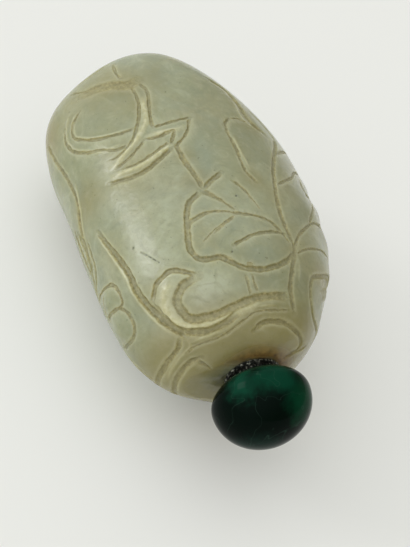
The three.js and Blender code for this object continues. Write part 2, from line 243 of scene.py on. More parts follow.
right_troughs = [
    (THIN, [(13.5, 4), (9.5, 0), (8, -3), (8, -8), (7.5, -13.5), (8, -16.5), (11, -19)]),
    (HAIR, [(13.5, 4), (19, 5), (24, 4)]),
    (BROAD, [(20, 33), (28, 28), (28, 20), (26.5, 9), (28.5, 4), (33, 1.5)]),
    (MEDIUM, [(43, 2), (39.5, -1), (28, -10), (22.5, -17), (19.5, -23.5), (19, -29), (21, -34),
              (23.5, -38.5), (21, -45), (19, -52), (21, -56), (25, -60.5)]),
    (THIN, [(35.5, -5.5), (40.5, -3.5), (54.5, 0.5), (76, 3)]),
    (THIN, [(24, -18), (30.5, -15.5), (38.5, -12.5), (47, -8.5), (66, -4)]),
    (THIN, [(36, 17), (40, 11), (43, 2)]),
    (THIN, [(50, -10), (49.5, -13.5), (62, -15), (80, -16)]),
    (THIN, [(66, -9.5), (60, -13.5), (48, -21), (40.5, -27)]),
    (THIN, [(23.5, -38), (28.5, -33.5), (35, -30), (45, -26), (56, -24.5)]),
    (FAINT, [(46.5, -25.5), (62, -22.5), (82, -23)]),
    (FAINT, [(24.5, -40), (33.5, -37), (48, -34), (66, -32.5), (82, -34)]),
    (MEDIUM, [(84, -37), (66, -38), (43, -44), (38, -48), (42, -54), (52, -58), (76, -56)]),
    (THIN, [(66, -51), (78, -53), (74, -61)]),
    (NOTCH, [(49, -15.4), (56, -14.2), (66, -13.4), (76, -13)]),
    (NOTCH, [(58, -23.5), (70, -22.5), (98, -23)]),
    (NOTCH, [(62, -32.8), (72, -32.4), (86, -34), (102, -35.5)]),
    (NOTCH, [(66, -38), (76, -37.5), (88, -37)]),
    (PANEL, [(88, -38.6), (72, -39.4), (63, -40.8), (54, -43.4)]),
    (WASH, [(80, -41.6), (68, -43), (59, -46), (53, -49)]),
    (NOTCH, [(60, 1.2), (70, 2.4), (96, 3)]),
]
shoulder_troughs = [
    (MEDIUM, [(-60, -63), (-68, -65.5), (-82, -66), (-101, -65.5), (-122, -62)]),
    (HAIR, [(-64, -68), (-50, -68), (-32, -68), (-16, -64), (-4, -61), (19, -60)]),
    (MEDIUM, [(-57, -73), (-70, -71.5), (-85, -71.5), (-106, -71), (-128, -68.5), (-140, -68)]),
    (THIN, [(-64.5, -73), (-62, -75.5), (-63, -79)]),
    (MEDIUM, [(-10, -68.5), (-6, -66.5), (0, -65), (12, -65), (24.5, -65.5), (40.5, -67), (50.5, -68.5),
              (52, -71.5), (46, -76)]),
    (THIN, [(62, -66), (54, -72), (45, -77)]),
]

# %% [markdown]
# The back is plainer: one broad leaf with its midrib between two long stalks. It lies
# against the table, and a carver spends the least time there.

# %% Troughs on the back
back_troughs = [
    (BROAD, [(168, -30), (150, -20), (142, -4), (150, 14), (170, 24), (194, 16), (204, -4), (196, -22),
             (168, -30)]),
    (SUNK, [(168, -30), (170, -12), (170, 6), (166, 18)]),
    (BROAD, [(116, 34), (104, 20), (98, 2), (104, -16), (118, -34), (122, -50)]),
    (BROAD, [(-108, -31), (-122, -20), (-128, -4), (-122, 14), (-110, 30)]),
    (BROAD, [(168, -30), (160, -44), (140, -56), (116, -60)]),
]


def ring(lon, lat, half_round, half_long, count=14):
    """Places round an oval: half-widths in degrees round and along the body. The last two
    places repeat the first two, so that the curve closes smoothly."""
    turns = np.arange(count + 2) * 2 * math.pi / count
    return [(lon + half_round * math.cos(t), lat + half_long * math.sin(t)) for t in turns]


petal_troughs = [(MEDIUM, ring(142, -76.5, 40, 5.9))]  # by the mouth
troughs = petal_troughs + bow_troughs + leaf_troughs + left_troughs + right_troughs
troughs += shoulder_troughs + back_troughs
print(len(troughs), "troughs")

# %% One scratch and three dark specks
cracks = [(CRACK, [(-54, -33.5), (-50.5, -36), (-47.5, -38.5)])]
speck_places = ((-2.5, -24), (-13, -41), (-57, -31.5))
specks = [(SPECK, [(lon, lat), (lon + 0.3, lat + 0.2)]) for lon, lat in speck_places]
print(len(cracks) + len(specks), "flaws")

# %% [markdown]
# Between two close troughs the stone stands up as a thread, and along some edges the
# grinding left a thin raised lip. These are strokes too, with a rise instead of a depth.

# %% Raised threads and swellings
# a thread's paleness is partly pale stone and partly a painted highlight where light catches the raised line
THREAD, RIBBON, ARM = (0.28, 0.12, 0.35), (0.48, 0.2, 0.8), (0.85, 0.22, 0.8)  # half, rise and paleness
threads = [
    # the bow's left loop
    (THREAD, [(-60.5, 26), (-65, 21.5), (-68.5, 13), (-67, 5.5), (-61, 0.5), (-52, -2.8), (-39, -3.2)]),
    (THREAD, [(-58, 24), (-62, 18), (-63, 12), (-61, 8), (-52, 3), (-42, 0.8), (-34, 0.8)]),
    # its tail
    (RIBBON, [(-22, 18), (-24.5, 11), (-25.5, 5.5), (-28.5, 0), (-36, -4), (-42, -6), (-48, -8),
              (-54, -8.5)]),
    (RIBBON, [(-32, -3.5), (-23, -3), (-14.5, -2.5), (-9, -1)]),  # the right loop, upper edge
    (RIBBON, [(-19, -6.5), (-30, -9.5), (-38, -11), (-46, -11), (-56, -10.5)]),  # and lower edge
    # the scroll
    (ARM, [(-42, -44.5), (-50.5, -47), (-55.5, -51), (-55.5, -57), (-44, -62), (-27, -62), (-13, -59.5),
           (-1, -57.5)]),
    # along the long stalk
    (THREAD, [(-74.5, -20.5), (-71, -29), (-68.6, -36.5), (-68.6, -42), (-67.5, -47.5), (-65, -55),
              (-62, -60)]),
    # edge of the shoulder
    (THREAD, [(-62, -66), (-50, -66), (-36, -66), (-20, -62), (-6, -59.5), (12, -58.5)]),
    (THREAD, [(10.5, -2.5), (9.5, -8), (10, -12.5), (10.5, -16.5)]),  # inside the long leaf
    (THREAD, [(25, 19.5), (22, 8.5), (24.5, 3), (31, 0)]),  # beside it
    (THREAD, [(-75, -3), (-77.5, -8), (-81.5, -13.5), (-86, -18.5), (-92, -25)]),  # the left flank
    (THREAD, [(-80.5, -37), (-79, -39), (-79.3, -41)]),
    (THREAD, [(-82.5, -43.8), (-81.5, -45.5), (-82, -47.5)]),
    (THREAD, [(-106.5, -48), (-108, -53), (-107.5, -57), (-106.5, -61)]),
    (THREAD, [(26.5, -40), (26, -45.5), (26.5, -51)]),  # the right stalk
    # the petal's edge
    (THREAD, [(-56, -62), (-55.5, -64.5), (-58.5, -67.5), (-68, -68), (-84, -68.5), (-104, -68.5)]),
]

# Broad forms: place, half-widths round and along the body in mm, and rise in mm, where less
# than 0 is a dip.
swellings = [
    ((-84, 38), 9, 9, 0.6), ((-106, -60), 10, 10, 0.75), ((62, -36), 9, 9, 0.4),
    ((-98, -40), 9, 9, 0.5), ((-112, -74), 7, 7, 0.6), ((50, -66), 7, 7, 0.5), ((50, -22), 6, 6, 0.4),
    ((-112, -52), 8, 8, 0.25), ((-92, -6), 10, 10, -0.4),
    ((66, -17), 3.5, 3.5, 0.45), ((66, -27), 4, 4, 0.4), ((66, -8), 3, 3, 0.25), ((75, -46), 5, 5, -0.35),
    ((-88, -38), 2.8, 2.8, 0.4), ((-92.5, -46), 3.2, 3.2, 0.4),  # the fruits
    ((-85, -74), 4, 4, 0.3), ((15, -73), 4, 4, 0.3),  # the petals by the mouth
    ((-14, -33), 8, 5, 0.25), ((8, -40), 6, 5, 0.2),  # the large leaf
]
print(len(threads), "threads and", len(swellings), "swellings")


# %% Distances to a stroke
def smooth_step(value, low, high):
    """0 below low, 1 above high, and 3t^2 - 2t^3 between them."""
    t = np.clip((value - low) / (high - low), 0, 1)
    return t * t * (3 - 2 * t)


def smooth_path(places, spacing=0.35):
    """Points on the pebble along a Catmull-Rom curve through the places, about `spacing` mm
    apart: each span is the cubic whose ends point along their neighbours' chords."""
    knots = directions(*np.array(places, float).T)
    padded = np.vstack([2 * knots[:1] - knots[1:2], knots, 2 * knots[-1:] - knots[-2:-1]])
    spans = []
    for a, b, c, d in zip(padded, padded[1:], padded[2:], padded[3:]):
        steps = max(2, int(np.ceil(np.linalg.norm(pebble(unit(c)) - pebble(unit(b))) / spacing)))
        t = np.linspace(0, 1, steps, endpoint=False)[:, None]
        square, cube = 2 * a - 5 * b + 4 * c - d, 3 * b - a - 3 * c + d
        spans.append(0.5 * (2 * b + (c - a) * t + square * t**2 + cube * t**3))
    return pebble(unit(np.vstack(spans + [knots[-1:]])))


def distance_to_path(points, path, reach):
    """For each point its distance to the path (infinite beyond reach) and how far along the
    path the nearest place lies, 0 to 1."""
    near = np.flatnonzero(((points > path.min(0) - reach) & (points < path.max(0) + reach)).all(-1))
    best, where = np.full(len(points), np.inf), np.zeros(len(points))
    steps = np.linalg.norm(np.diff(path, axis=0), axis=1)
    start = np.concatenate([[0], np.cumsum(steps)])
    spots = points[near]
    closest, along = np.full(len(near), np.inf), np.zeros(len(near))
    for i, (a, b) in enumerate(zip(path, path[1:])):
        # only the points that are within reach of this short piece are measured
        rough = np.flatnonzero(np.abs(spots - (a + b) / 2).max(-1) < reach + steps[i])
        chord = b - a
        t = np.clip((spots[rough] - a) @ chord / (chord @ chord), 0, 1)
        gap = np.linalg.norm(spots[rough] - a - t[:, None] * chord, axis=-1)
        better = gap < closest[rough]
        closest[rough[better]] = gap[better]
        along[rough[better]] = (start[i] + t[better] * steps[i]) / start[-1]
    best[near], where[near] = closest, along
    return best, where, start[-1]


# %% One trough's section
floor_ends, wall_ends = 0.4, 1.15  # shares of the half-breadth, out from the centre line
corner_at, corner_spread = 0.75, 0.25
stain_fades, stain_ends = 0.8, 1.25
# a painted highlight along each trough's edge: its place out from the centre line, in shares of the
# half-breadth, and its spread
edge_highlight_at, edge_highlight_spread = 1.3, 0.16  # this spread and the next are in mm
halo_spread = 1.3
far = 9  # stands for any greater distance, so that the bell curves get no infinite ones


def trough_section(points, unevenness, size, places):
    """One trough's depth in mm, and its stain, halo and painted edge highlight shares, at each point.
    The wall is a smooth step from the floor up to the edge. The stain fills the trough and is darkest
    in the corner under the wall, the halo is a wide bell curve over the stone beside it, and the
    painted edge highlight is a narrow pale bell curve along the edge. All of them run out at both ends."""
    half, deep, end_share = size
    gap, along, length = distance_to_path(points, smooth_path(places), 1.6 * half + 1.6)
    gap = gap + unevenness
    share = 1 + (end_share - 1) * along
    run_out = 0.25 + 0.75 * smooth_step(np.minimum(along, 1 - along) * length, 0, 2.5 * half)
    gap = gap / (half * share)
    near = np.minimum(gap, far)
    depth = deep * share * run_out * (1 - smooth_step(gap, floor_ends, wall_ends))
    corner = 0.6 + 0.4 * np.exp(-(((near - corner_at) / corner_spread) ** 2))
    stain = run_out * corner * (1 - smooth_step(gap, stain_fades, stain_ends))
    halo = run_out * half * np.exp(-((near * share * half / halo_spread) ** 2))
    edge_highlight = run_out * np.exp(-(((near - edge_highlight_at) * half * share / edge_highlight_spread) ** 2))
    return depth, stain, halo, edge_highlight


# %% One swelling
def hill(points, place, round_half, long_half, high):
    """A smooth hill: 1 minus a smooth step of the distance from its middle, each part of the
    distance counted in the half-width that belongs to it."""
    centre = directions(*place)
    middle, out = pebble(centre), pebble_normals(centre)
    around = unit(np.cross([0.0, 1.0, 0.0], out))
    lengthwise = np.cross(out, around)
    away = points - middle
    share = np.sqrt((away @ around / round_half) ** 2 + (away @ lengthwise / long_half) ** 2
                    + (away @ out / max(round_half, long_half)) ** 2)
    return high * (1 - smooth_step(share, 0, 1))


# %% The relief: how high or deep the carving is at each point
wave_ways = ((0.9, -0.7, 0.5), (2.1, 1.3, 0.7), (-1.2, 2.9, 1.1), (3.9, -2.3, 1.9), (4.4, 5.1, -2.7))
wander = 0.03  # mm


def relief(points):
    """Height in mm above the pebble, and the stain, painted edge highlight, halo, thread paleness
    with painted highlight and crack shares. Where troughs cross the deepest one wins, a thread is
    a bell curve across its line, and swellings add up."""
    depth, stain, edge_highlight, halo, rise, thread_pale_and_highlight, crack = np.zeros((7, len(points)))
    # a hand-held disc wanders a little: waves of 1 to 5 mm shift a trough's edges
    unevenness = sum(wander * np.sin(points @ np.array(way)) for way in wave_ways)
    for size, places in troughs:
        deep, dirty, beside, edge = trough_section(points, unevenness, size, places)
        depth, stain = np.maximum(depth, deep), np.maximum(stain, dirty)
        halo, edge_highlight = np.maximum(halo, beside), np.maximum(edge_highlight, edge)
    for (half, deep), places in cracks + specks:
        gap = distance_to_path(points, smooth_path(places), 3 * half)[0]
        bell = np.exp(-((np.minimum(gap, far) / half) ** 2))
        depth, crack = np.maximum(depth, deep * bell), np.maximum(crack, bell)
    # each thread's pale share: partly pale stone, partly painted highlight
    for (half, high, paleness_and_highlight), places in threads:
        gap, along, length = distance_to_path(points, smooth_path(places), 3 * half)
        run_out = smooth_step(np.minimum(along, 1 - along) * length, 0, 3)
        bell = run_out * np.exp(-(np.minimum(gap, far) / half) ** 2)
        rise, thread_pale_and_highlight = np.maximum(rise, high * bell), np.maximum(thread_pale_and_highlight, paleness_and_highlight * bell)
    for swelling in swellings:
        rise = rise + hill(points, *swelling)
    return rise - depth, stain, edge_highlight * (1 - stain), halo, thread_pale_and_highlight * (1 - stain), crack


# %% [markdown]
# ## The carved bottle
#
# One grid covers the whole bottle: from the foot over the outside to the lip, across the
# lip, down the bore and round the inside. Its rows and columns stand closer together where
# the carving is fine and the eye lingers, and wider on the back.

# %% Rows and columns
columns, outside_rows, foot_rows = 840, 560, 10


def spaced(low, high, count, weight):
    """`count` places from low to high, closer together where the weight is greater: the
    weight's running total, cut into equal shares."""
    fine = np.linspace(low, high, 4001)
    total = np.concatenate([[0], np.cumsum((weight(fine[1:]) + weight(fine[:-1])) / 2)])
    return np.interp(np.linspace(0, total[-1], count), total, fine)


lip_latitude = -math.degrees(math.asin((widest - lip_at) / (half_length + widest)))
rim_latitude = math.degrees(math.asin((foot_at - widest) / (half_length - widest)))
meridian = np.linspace(-90, 90, 721)
meridian_points = pebble(directions(-30.0 + 0 * meridian, meridian))
meridian_step = np.linalg.norm(np.gradient(meridian_points, axis=0), axis=-1)


def column_weight(lon):
    """Three times as many columns about 25 degrees left of the front as at the back."""
    return 0.5 + np.exp(-(((lon + 25) / 95) ** 4))


def row_weight(down):
    """Rows by real length along the body, and closer about 22 degrees towards the mouth;
    `down` is minus the latitude."""
    return np.interp(-down, meridian, meridian_step) * (0.6 + np.exp(-(((down - 22) / 55) ** 4)))


column_lon = spaced(-180, 180, columns + 1, column_weight)[:-1]
row_down = spaced(-rim_latitude, -lip_latitude, outside_rows - foot_rows, row_weight)
row_lat = np.concatenate([np.linspace(89, rim_latitude, foot_rows, endpoint=False), row_down * -1])
print(columns, "columns,", len(row_lat), "rows on the outside")

# %% The outside, carved
lon, lat = np.meshgrid(column_lon, row_lat)
facing = directions(lon, lat).reshape(-1, 3)
ground_stone = pebble(facing)
outward = pebble_normals(facing)
height, stain, edge_highlight, halo, thread_pale_and_highlight, crack = relief(ground_stone)
carved = ground_stone + outward * height[:, None]
carved[:, 1] = np.clip(carved[:, 1], lip_at, foot_at)  # the two ends are ground flat
carved[:, 2] = np.maximum(carved[:, 2], 0)  # and so is the spot that it lies on
outside = carved.reshape(lon.shape + (3,))
print("carving from", round(height.min(), 2), "to", round(height.max(), 2), "mm")


# %% Where the stone is browner, and where it is cloudy white or carries a painted highlight
def spots_of_colour(points, spots):
    """Shares from 0 to 1: a bell curve in space round each place, with its radius in mm and
    its amount; where they meet, the stronger wins."""
    share = np.zeros(len(points))
    for place, radius, amount in spots:
        away = np.linalg.norm(points - pebble(directions(*place)), axis=-1)
        share = np.maximum(share, amount * np.exp(-((away / radius) ** 2)))
    return share


# place, radius in mm and amount
brown_spots = [
    ((-42, 31), 5, 0.75), ((-30, 28), 4, 0.85), ((-26, 14), 3, 0.6), ((-40, -11), 5, 0.45),
    ((-72, -12), 4, 0.7), ((-33, 21), 6, 0.45), ((-46, 24), 3, 0.5), ((-86, 29), 4, 0.9),
    ((30, -18), 8, 0.3), ((25, -36), 6, 0.4), ((30, -52), 8, 0.35), ((49, -42), 3, 0.8),
    ((14, -8), 5, 0.3), ((30, 20), 5, 0.3), ((-18, -11), 2, 0.6), ((-17, -18), 2, 0.6),
    ((-60, 30), 5, 0.5), ((-15, 27), 3, 0.5), ((-70, -30), 3, 0.3), ((20, -22), 3, 0.5),
    ((-86, 25), 4.5, 1.0), ((-29, 26), 3.5, 0.9), ((-38, 28), 3.5, 0.9), ((-50, 31), 4, 0.6),
    ((-58, -48), 3, 0.4), ((22, 2), 4, 0.4), ((10, -18), 3, 0.6), ((36, -20), 6, 0.2),
    ((-4, -52), 4, 0.4),
]
# pale clouds in the stone; some of them, on the left of the front, are also a painted highlight where the
# window's sheen falls
pale_and_highlight_spots = [
    ((-51, -7.5), 2.2, 1.0), ((-33, -54), 3.2, 0.8), ((-56, -17), 3.5, 0.4), ((-45, -29), 6, 0.2),
    ((-55, -54), 4, 0.9), ((-79, -31), 4, 0.4), ((-32, -20), 6, 0.3), ((-58, -38), 5, 0.5),
    ((42, -30), 9, 0.35), ((48, -8), 7, 0.3),
]
by_shoulder = smooth_step(-ground_stone[:, 1], 21, 27.5)  # mm along the body, towards the mouth
brown = np.maximum(spots_of_colour(ground_stone, brown_spots), by_shoulder)
pale_and_highlight = spots_of_colour(ground_stone, pale_and_highlight_spots)

mouth = np.array([lean, 0.0, axis_height + mouth_rise])
from_mouth = np.hypot(ground_stone[:, 0] - mouth[0], ground_stone[:, 2] - mouth[2])
rust_radius, rust_fade, rust_starts = 7.4, 3.0, -25
rust = smooth_step(rust_radius - from_mouth, 0, rust_fade) * (ground_stone[:, 1] < rust_starts)
means = {"brown": brown, "pale_and_highlight": pale_and_highlight, "rust": rust}
print("mean shares:", {name: round(float(share.mean()), 3) for name, share in means.items()})

# %% The lip, the bore and the hollow
bevel = 0.25  # mm, where the lip turns into the bore
bore_stops = (-29.0, -27.5, -26.3)  # rings down the bore
turn = np.radians(column_lon)
circle = np.stack([np.sin(turn), 0 * turn, np.cos(turn)], -1)


def mouth_ring(radius, along):
    """A circle about the mouth's axis: its centre plus radius times (sin, 0, cos)."""
    return mouth + np.array([0.0, along, 0.0]) + radius * circle


lip_edge = mouth_ring(mouth_radius + bevel, lip_at)
lip_rings = [outside[-1] * (1 - t) + lip_edge * t for t in (0.33, 0.67)]
bore_rings = [lip_edge, mouth_ring(mouth_radius, lip_at + bevel)]
bore_rings += [mouth_ring(mouth_radius, along) for along in bore_stops]
hollow_lat = np.concatenate([[-80], np.linspace(-76, 84, 17)])
hollow_rings = [pebble(directions(column_lon, np.full(columns, at)), wall) for at in hollow_lat]
rings = np.concatenate([outside, np.stack(lip_rings + bore_rings + hollow_rings)]) + shift
foot_end = directions(0.0, 90.0)
foot_middle = [pebble(foot_end)[0], foot_at, outside[0, :, 2].mean()]
poles = np.stack([foot_middle, pebble(foot_end, wall)]) + shift
hollow_starts, hollow_ends = hollow_rings[0][:, 1].min(), hollow_rings[-1][:, 1].max()
print("hollow from", round(hollow_starts, 1), "to", round(hollow_ends, 1), "mm along the bottle")


# %% A mesh from rings
def triangles_in(mesh):
    """How many triangles a mesh makes: a face of n corners counts n - 2."""
    return sum(len(face.vertices) - 2 for face in mesh.polygons)


def mesh_of_rings(name, rings, poles, attributes=None):
    """A closed surface from rings of points: each quad joins two neighbours on a ring to the
    two on the next, and a fan of triangles joins the first and the last ring to their poles."""
    rows, count = rings.shape[:2]
    points = np.concatenate([rings.reshape(-1, 3), poles]) * MM
    start = (np.arange(rows - 1)[:, None] * count + np.arange(count)).ravel()
    beside = (np.arange(rows - 1)[:, None] * count + (np.arange(count) + 1) % count).ravel()
    quads = np.stack([start, beside, beside + count, start + count], -1)
    around = np.arange(count)
    after = (around + 1) % count
    first = np.stack([np.full(count, rows * count), after, around], -1)
    last_row = (rows - 1) * count
    last = np.stack([np.full(count, rows * count + 1), last_row + around, last_row + after], -1)
    a, b, c = points[first[:, 0]], points[first[:, 1]], points[first[:, 2]]
    middle = points.mean(0)
    if (np.cross(b - a, c - a).sum(0) @ (a.mean(0) - middle)) < 0:  # they point inwards
        quads, first, last = quads[:, ::-1], first[:, ::-1], last[:, ::-1]
    mesh = bpy.data.meshes.new(name)
    mesh.from_pydata(points, [], quads.tolist() + first.tolist() + last.tolist())
    mesh.update()
    mesh.polygons.foreach_set("use_smooth", np.ones(len(mesh.polygons), bool))
    for key, values in (attributes or {}).items():
        full = np.zeros(len(points))
        full[:len(values)] = values
        mesh.attributes.new(key, "FLOAT", "POINT").data.foreach_set("value", full)
    piece = bpy.data.objects.new(name, mesh)
    bpy.context.scene.collection.objects.link(piece)
    print(name, len(mesh.vertices), "points,", triangles_in(mesh), "triangles")
    return piece


# %% The bottle piece
def thinned(piece, triangles):
    """The same form in fewer triangles: edges collapse where the surface is nearly flat, so
    the smooth stone turns coarse and the troughs stay fine."""
    before = triangles_in(piece.data)
    collapse = piece.modifiers.new("fewer triangles", "DECIMATE")
    collapse.ratio = triangles / before
    depsgraph = bpy.context.evaluated_depsgraph_get()
    fewer = bpy.data.meshes.new_from_object(piece.evaluated_get(depsgraph))
    piece.modifiers.clear()
    piece.data = fewer
    print(piece.name, before, "->", triangles_in(fewer), "triangles")


shares = {
    "stain": stain, "edge_highlight": edge_highlight, "halo": halo, "thread_pale_and_highlight": thread_pale_and_highlight, "brown": brown, "pale_and_highlight": pale_and_highlight,
    "rust": rust, "crack": crack, "dull": np.maximum(stain, rust),
}
most_triangles = 190000
carved_bottle = mesh_of_rings("carved_bottle", rings, poles, shares)
thinned(carved_bottle, most_triangles)
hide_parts("bottle")
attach(carved_bottle, "root")

# %% [markdown]
# ## The stopper
#
# Three things on one axis. The cap is a cabochon: a stone with a round dome in front and a
# shallower back, ground to a small flat seat. Under it lies a thin disc of old metal with
# a worn, pitted edge, and a cork peg goes down the bore. All three are turned forms, so each
# is a profile carried round the mouth's axis.

# %% Turned forms
def turned(name, profile, count, wobble=None):
    """Rings about the mouth's axis from a profile of (radius, place along Y from the lip);
    wobble(turn, place) may change the radius a little from point to point."""
    around = np.linspace(0, 2 * np.pi, count, endpoint=False)
    spokes = np.stack([np.sin(around), 0 * around, np.cos(around)], -1)
    radius, along = np.array(profile, float).T
    spread = np.repeat(radius[:, None], count, 1)
    if wobble:
        spread = spread + wobble(around[None, :], along[:, None])
    centre = mouth + shift + np.array([0, lip_at, 0])
    rings = centre + spread[..., None] * spokes + along[:, None, None] * np.array([0.0, 1.0, 0.0])
    poles = centre + np.array([[0, along[0], 0], [0, along[-1], 0]])
    return mesh_of_rings(name, rings, poles)


cap_radius, cap_front, cap_back, seat_radius, collar_height = 7.5, 6.6, 3.35, 4.4, 1.6
seat_angle = math.acos(seat_radius / cap_radius)
widest_at = -collar_height - cap_back
front = np.linspace(-np.pi / 2, 0, 46)[1:]
rear = np.linspace(0, seat_angle, 20)[1:]
cap_profile = [(cap_radius * np.cos(t), widest_at + cap_front * np.sin(t)) for t in front]
cap_profile += [(cap_radius * np.cos(t), widest_at + cap_back * np.sin(t) / np.sin(seat_angle)) for t in rear]
cap_profile += [(seat_radius - 0.2, -collar_height), (0.5, -collar_height)]
cap = turned("stopper_dome", cap_profile, 120)
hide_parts("stopper_cap")
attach(cap, "root")


# %% The metal disc
edge_waves = ((5, 0.04), (11, 0.035), (23, 0.03), (41, 0.02))  # how many go round, and mm


def worn_edge(around, along):
    """Sine waves of four lengths round the edge, as filing and wear leave, which fade out
    towards the disc's two faces."""
    waves = sum(high * np.sin(count * around + 2.1 * count + 1.5 * along) for count, high in edge_waves)
    return waves * (1 - abs(2 * along / collar_height + 1) ** 8)


disc_profile = [
    (0.5, -collar_height), (3.0, -collar_height), (3.95, -collar_height), (4.1, -1.5), (4.14, -1.35),
    (4.05, -1.15), (4.12, -0.95), (4.03, -0.75), (4.1, -0.6), (4.05, -0.48), (4.2, -0.38),
    (4.29, -0.25), (4.26, -0.1), (4.1, 0), (3.0, 0), (0.5, 0),
]
disc = turned("stopper_disc", disc_profile, 220, worn_edge)
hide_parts("stopper_collar")
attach(disc, "root")

# %% The cork
cork_profile = [
    (0.4, 0.02), (2.66, 0.02), (2.68, 0.2), (2.66, 0.5), (2.6, 3), (2.52, 6), (2.47, 7.8), (2.4, 7.95),
    (2.2, 8), (0.4, 8),
]
peg = turned("stopper_peg", cork_profile, 72)
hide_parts("stopper_cork")
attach(peg, "root")

# %% [markdown]
# ## The finishes
#
# Each finish is a Principled shader fed by procedural patterns. Patterns read Object
# coordinates, which are metres here, so a pattern of size s mm has a scale of 1000 / s.

# %% Node helpers
def marks(size):
    """The scale of a pattern whose marks are `size` mm across."""
    return 1000 / size


def linear(code):
    """A colour as a shader wants it, from an sRGB hex code."""
    parts = [int(code[i:i + 2], 16) / 255 for i in (1, 3, 5)]
    return [p / 12.92 if p <= 0.04045 else ((p + 0.055) / 1.055) ** 2.4 for p in parts] + [1.0]


def node(tree, kind, settings=None, **inputs):
    """A node with its settings (attributes, input values or a ramp's stops, which are pairs
    of place and colour) and its inputs: a socket is linked, and a number or a hex colour is
    set. An underscore in an input's name is a blank; i0, i1 and so on pick one by place."""
    made = tree.nodes.new(kind)
    settings = dict(settings or {})
    stops = settings.pop("stops", [])
    own = [key for key in settings if isinstance(key, str) and hasattr(made, key)]
    for key in own:
        setattr(made, key, settings.pop(key))
    for key, value in settings.items():
        made.inputs[key].default_value = value
    points = made.color_ramp.elements if stops else []
    while len(points) < len(stops):
        points.new(0.5)
    for point, (at, colour) in zip(points, stops):
        point.position = at
        point.color = linear(colour) if isinstance(colour, str) else (colour, colour, colour, 1)
    for key, source in inputs.items():
        place = int(key[1:]) if key[0] == "i" and key[1:].isdigit() else key.replace("_", " ")
        if isinstance(source, bpy.types.NodeSocket):
            tree.links.new(source, made.inputs[place])
        else:
            made.inputs[place].default_value = linear(source) if isinstance(source, str) else source
    return made


def finish(name, roughness, metallic=0.0, **settings):
    """A new material: its node tree, its Principled shader and the pattern coordinates."""
    material = bpy.data.materials.new(name)
    material.use_nodes = True
    tree = material.node_tree
    shader = tree.nodes["Principled BSDF"]
    shader.inputs["Roughness"].default_value = roughness
    shader.inputs["Metallic"].default_value = metallic
    for key, value in settings.items():
        shader.inputs[key.replace("_", " ")].default_value = value
    place = node(tree, "ShaderNodeMapping", Vector=node(tree, "ShaderNodeTexCoord").outputs["Object"])
    return material, tree, shader, place.outputs["Vector"]


RAMP, BUMP, NOISE = "ShaderNodeValToRGB", "ShaderNodeBump", "ShaderNodeTexNoise"
MIX, LAYER = "ShaderNodeMix", {"data_type": "RGBA"}  # i0 the upper colour's share, i6 lower, i7 upper
print("a hand-width mark, 100 mm across, has a scale of", marks(100))

# %% [markdown]
# ### Polished pale jade, with old handling in its grooves
#
# Nephrite is a felt of fine crystals. Light goes a few millimetres into it, which softens
# shadows: that is subsurface scattering. Its index is 1.61, and a hand polish leaves a soft
# shine. Old wax, dust and iron stains stay where the polishing cloth can't reach, so the
# troughs are browner and duller. The stain was worked out with the relief and is stored
# on the mesh, because no pattern in space can know where the troughs are.

# %% Jade: clouds, veils and flecks inside the stone
jade, tree, shader, spot = finish(
    "polished_nephrite_jade", 0.3, IOR=1.61, Specular_IOR_Level=0.4,
    Subsurface_Weight=0.7, Subsurface_Scale=0.003)
shader.inputs["Subsurface Radius"].default_value = (1.0, 0.9, 0.55)  # red light goes deepest


def share_of(name, amount=1.0):
    """A share that is stored on the mesh, times an amount."""
    stored = node(tree, "ShaderNodeAttribute", {"attribute_name": name})
    scaled = node(tree, "ShaderNodeMath", {"operation": "MULTIPLY", 1: amount}, i0=stored.outputs["Fac"])
    return scaled.outputs["Value"]


clouds = node(tree, NOISE, {
    "Scale": marks(13.3), "Detail": 4.0, "Roughness": 0.55, "Distortion": 0.6}, Vector=spot)
patches = node(tree, NOISE, {
    "noise_dimensions": "4D", "Scale": marks(7.7), "Detail": 3.0, "Roughness": 0.5, "W": 4.0}, Vector=spot)
veils = node(tree, NOISE, {
    "noise_dimensions": "4D", "Scale": marks(11.1), "Detail": 3.0, "Distortion": 1.0, "W": 9.0}, Vector=spot)
wisps = node(tree, NOISE, {
    "Scale": marks(4.17), "Detail": 5.0, "Roughness": 0.6, "Distortion": 2.0}, Vector=spot)
mottle = node(tree, NOISE, {"Scale": marks(0.91), "Detail": 3.0, "Roughness": 0.6}, Vector=spot)
flecks = node(tree, NOISE, {"Scale": marks(0.667), "Detail": 2.0, "Roughness": 0.5}, Vector=spot)

body = node(tree, RAMP, {"stops": [(0.3, "#868a69"), (0.5, "#929675"), (0.7, "#a3a78a")]},
            Fac=clouds.outputs["Fac"])
# pale cloudy stone, partly a painted highlight, laid over the body colour
cloud_and_highlight = node(tree, MIX, LAYER, i0=share_of("pale_and_highlight", 0.9), i6=body.outputs["Color"], i7="#b9bba6")
stone = cloud_and_highlight.outputs[2]
# a pattern, its share at one level and at another, and the colour laid over by that share
inside = [
    (patches, (0.45, 0.0), (0.75, 0.5), "#99916a"),
    (veils, (0.48, 0.0), (0.66, 0.55), "#87907a"),
    (wisps, (0.52, 0.0), (0.7, 0.35), "#aeb297"),
    (wisps, (0.32, 0.4), (0.46, 0.0), "#7c8063"),
    (mottle, (0.44, 0.0), (0.66, 0.22), "#7f8263"),
    (flecks, (0.6, 0.0), (0.74, 0.14), "#b4b59c"),
    (flecks, (0.24, 0.5), (0.3, 0.0), "#57553c"),
]
for pattern, start, end, colour in inside:
    share = node(tree, RAMP, {"stops": (start, end)}, Fac=pattern.outputs["Fac"])
    stone = node(tree, MIX, LAYER, i0=share.outputs["Color"], i6=stone, i7=colour).outputs[2]
print("jade, inside:", len(tree.nodes), "nodes")

